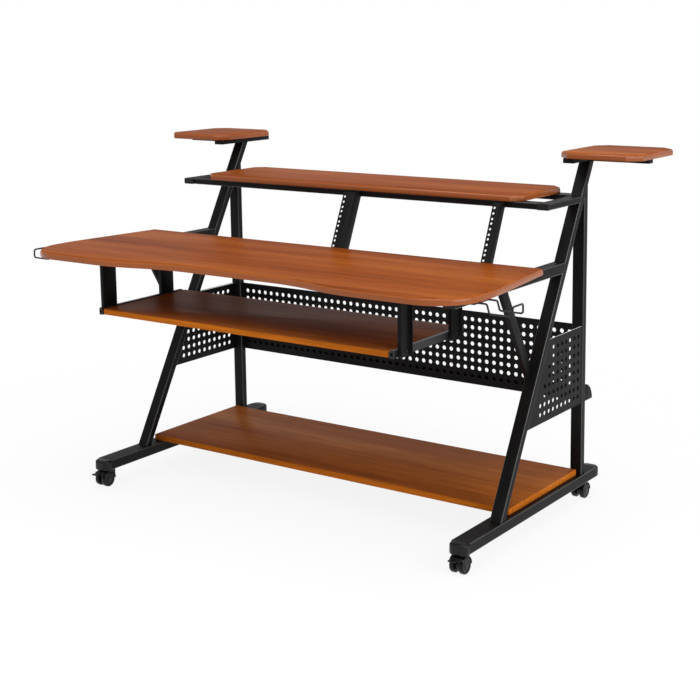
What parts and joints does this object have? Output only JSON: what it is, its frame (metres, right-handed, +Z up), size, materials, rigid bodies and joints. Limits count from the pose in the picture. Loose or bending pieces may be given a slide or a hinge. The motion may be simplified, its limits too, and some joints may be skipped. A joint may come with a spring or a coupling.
{
  "type": "music desk",
  "caption": "Wheeled music desk: curved wood desktop on slanted black tube frames, with a sliding keyboard tray, rack bay, upper shelf, speaker shelves and perforated panels.",
  "frame": {"origin": "on the floor, under the middle of the object's box", "axes": "+X to the player's right, along the width; +Y to the rear; +Z up"},
  "size_m": [1.696, 1.013, 1.0245],
  "materials": {
    "black_metal": "satin powder coat",
    "cherry_board": "satin cherry laminate",
    "black_plastic": "moulded",
    "wheel_plastic": "moulded",
    "slide_steel": "zinc plated",
    "hook_wire": "gloss coat"
  },
  "bodies": {
    "frame": {"left_foot_tube": "black_metal", "left_slanted_leg": "black_metal", "left_rear_leg": "black_metal", "left_desk_arm": "black_metal", "left_shelf_arm": "black_metal", "left_arm_brace": "black_metal", "left_side_panel": "black_metal", "left_speaker_bracket": "black_metal", "left_front_tray_hanger": "black_metal", "left_rear_tray_hanger": "black_metal", "left_slide_channel": "slide_steel", "left_headphone_hook": "hook_wire", "left_speaker_shelf": "cherry_board", "right_foot_tube": "black_metal", "right_slanted_leg": "black_metal", "right_rear_leg": "black_metal", "right_desk_arm": "black_metal", "right_shelf_arm": "black_metal", "right_arm_brace": "black_metal", "right_side_panel": "black_metal", "right_speaker_bracket": "black_metal", "right_front_tray_hanger": "black_metal", "right_rear_tray_hanger": "black_metal", "right_slide_channel": "slide_steel", "right_headphone_hook": "hook_wire", "right_speaker_shelf": "cherry_board", "front_cross_tube": "black_metal", "rear_cross_tube": "black_metal", "back_panel": "black_metal", "cable_tray": "black_metal", "centre_rack_rail": "black_metal", "right_rack_rail": "black_metal", "desktop": "cherry_board", "upper_shelf": "cherry_board", "lower_shelf": "cherry_board", "front_foot_caps": "black_plastic", "rear_foot_caps": "black_plastic", "arm_end_caps": "black_plastic", "front_left_caster_stem": "slide_steel", "front_right_caster_stem": "slide_steel", "rear_left_caster_stem": "slide_steel", "rear_right_caster_stem": "slide_steel"},
    "keyboard_tray": {"keyboard_tray": "cherry_board", "left_slide_runner": "slide_steel", "right_slide_runner": "slide_steel"},
    "front_left_caster_swivel": {"front_left_caster_body": "black_plastic"},
    "front_left_caster_wheels": {"front_left_caster_wheels": "wheel_plastic", "front_left_caster_axle": "slide_steel"},
    "front_left_caster_brake": {"front_left_caster_brake_lever": "black_plastic"},
    "front_right_caster_swivel": {"front_right_caster_body": "black_plastic"},
    "front_right_caster_wheels": {"front_right_caster_wheels": "wheel_plastic", "front_right_caster_axle": "slide_steel"},
    "front_right_caster_brake": {"front_right_caster_brake_lever": "black_plastic"},
    "rear_left_caster_swivel": {"rear_left_caster_body": "black_plastic"},
    "rear_left_caster_wheels": {"rear_left_caster_wheels": "wheel_plastic", "rear_left_caster_axle": "slide_steel"},
    "rear_right_caster_swivel": {"rear_right_caster_body": "black_plastic"},
    "rear_right_caster_wheels": {"rear_right_caster_wheels": "wheel_plastic", "rear_right_caster_axle": "slide_steel"}
  },
  "joints": [
    {"name": "tray_slide", "type": "slide", "parent": "frame", "child": "keyboard_tray", "axis": [0, -1, 0], "range_m": [0, 0.25]},
    {"name": "front_left_caster_turn", "type": "hinge", "parent": "frame", "child": "front_left_caster_swivel", "pos_m": [-0.62875, -0.289, 0.04], "axis": [0, 0, 1], "continuous": true},
    {"name": "front_left_caster_roll", "type": "hinge", "parent": "front_left_caster_swivel", "child": "front_left_caster_wheels", "pos_m": [-0.62875, -0.317, 0.022], "axis": [1, 0, 0], "continuous": true},
    {"name": "front_left_caster_brake_press", "type": "hinge", "parent": "front_left_caster_swivel", "child": "front_left_caster_brake", "pos_m": [-0.62875, -0.3385, 0.0435], "axis": [1, 0, 0], "range_deg": [0, 15]},
    {"name": "front_right_caster_turn", "type": "hinge", "parent": "frame", "child": "front_right_caster_swivel", "pos_m": [0.62875, -0.289, 0.04], "axis": [0, 0, 1], "continuous": true},
    {"name": "front_right_caster_roll", "type": "hinge", "parent": "front_right_caster_swivel", "child": "front_right_caster_wheels", "pos_m": [0.62875, -0.317, 0.022], "axis": [1, 0, 0], "continuous": true},
    {"name": "front_right_caster_brake_press", "type": "hinge", "parent": "front_right_caster_swivel", "child": "front_right_caster_brake", "pos_m": [0.62875, -0.3385, 0.0435], "axis": [1, 0, 0], "range_deg": [0, 15]},
    {"name": "rear_left_caster_turn", "type": "hinge", "parent": "frame", "child": "rear_left_caster_swivel", "pos_m": [-0.62875, 0.391, 0.04], "axis": [0, 0, 1], "continuous": true},
    {"name": "rear_left_caster_roll", "type": "hinge", "parent": "rear_left_caster_swivel", "child": "rear_left_caster_wheels", "pos_m": [-0.62875, 0.363, 0.022], "axis": [1, 0, 0], "continuous": true},
    {"name": "rear_right_caster_turn", "type": "hinge", "parent": "frame", "child": "rear_right_caster_swivel", "pos_m": [0.62875, 0.391, 0.04], "axis": [0, 0, 1], "continuous": true},
    {"name": "rear_right_caster_roll", "type": "hinge", "parent": "rear_right_caster_swivel", "child": "rear_right_caster_wheels", "pos_m": [0.62875, 0.363, 0.022], "axis": [1, 0, 0], "continuous": true}
  ]
}
